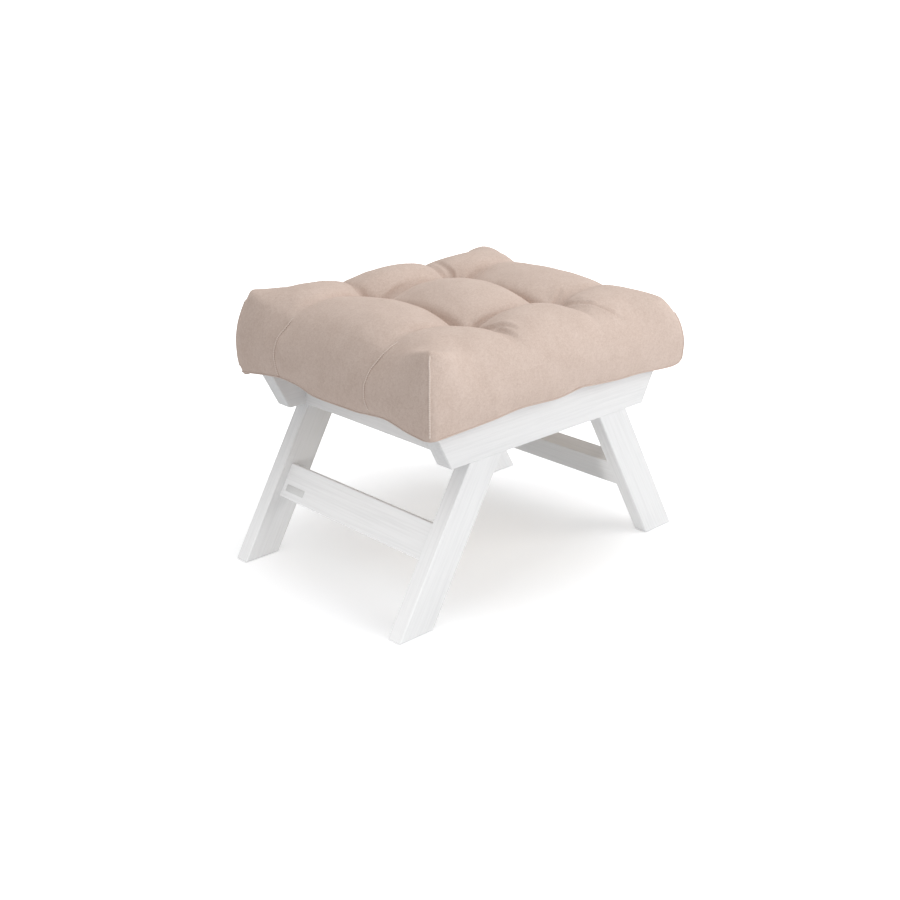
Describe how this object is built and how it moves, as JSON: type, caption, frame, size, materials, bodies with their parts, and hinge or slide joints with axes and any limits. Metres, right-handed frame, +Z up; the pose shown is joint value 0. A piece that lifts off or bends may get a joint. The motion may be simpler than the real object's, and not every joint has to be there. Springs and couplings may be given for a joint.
{
  "type": "footstool",
  "caption": "Low footstool with splayed board legs, slatted wooden frame and a loose deep-tufted box cushion that lifts off.",
  "frame": {"origin": "on the floor, under the middle of the stool", "axes": "+X along the long rails, towards the stool's right seen from the front; +Y from front to back; +Z up"},
  "size_m": [0.6586, 0.4914, 0.473],
  "materials": {
    "painted_pine": "satin",
    "bare_pine": "matte",
    "beech": "matte",
    "zinc_plated_steel": "satin",
    "velour": "matte",
    "base_cloth": "matte",
    "fibre_fill": "matte",
    "waxed_thread": "matte"
  },
  "bodies": {
    "frame": {"front_left_leg": "painted_pine", "front_right_leg": "painted_pine", "rear_left_leg": "painted_pine", "rear_right_leg": "painted_pine", "front_rail": "painted_pine", "rear_rail": "painted_pine", "left_cross_rail": "painted_pine", "right_cross_rail": "painted_pine", "left_stretcher": "painted_pine", "right_stretcher": "painted_pine", "seat_slat_1": "bare_pine", "seat_slat_2": "bare_pine", "seat_slat_3": "bare_pine", "seat_slat_4": "bare_pine", "seat_slat_5": "bare_pine", "front_slat_cleat": "bare_pine", "rear_slat_cleat": "bare_pine", "leg_tenons": "beech", "stretcher_tenons": "beech", "cross_rail_tenons": "beech", "cleat_screws": "zinc_plated_steel"},
    "cushion": {"cover_top_panel": "velour", "cover_base_panel": "base_cloth", "cushion_filling": "fibre_fill", "tuft_ties": "waxed_thread"}
  },
  "joints": [
    {"name": "cushion_lift", "type": "slide", "parent": "frame", "child": "cushion", "axis": [0, 0, 1], "range_m": [0, 0.06]}
  ]
}
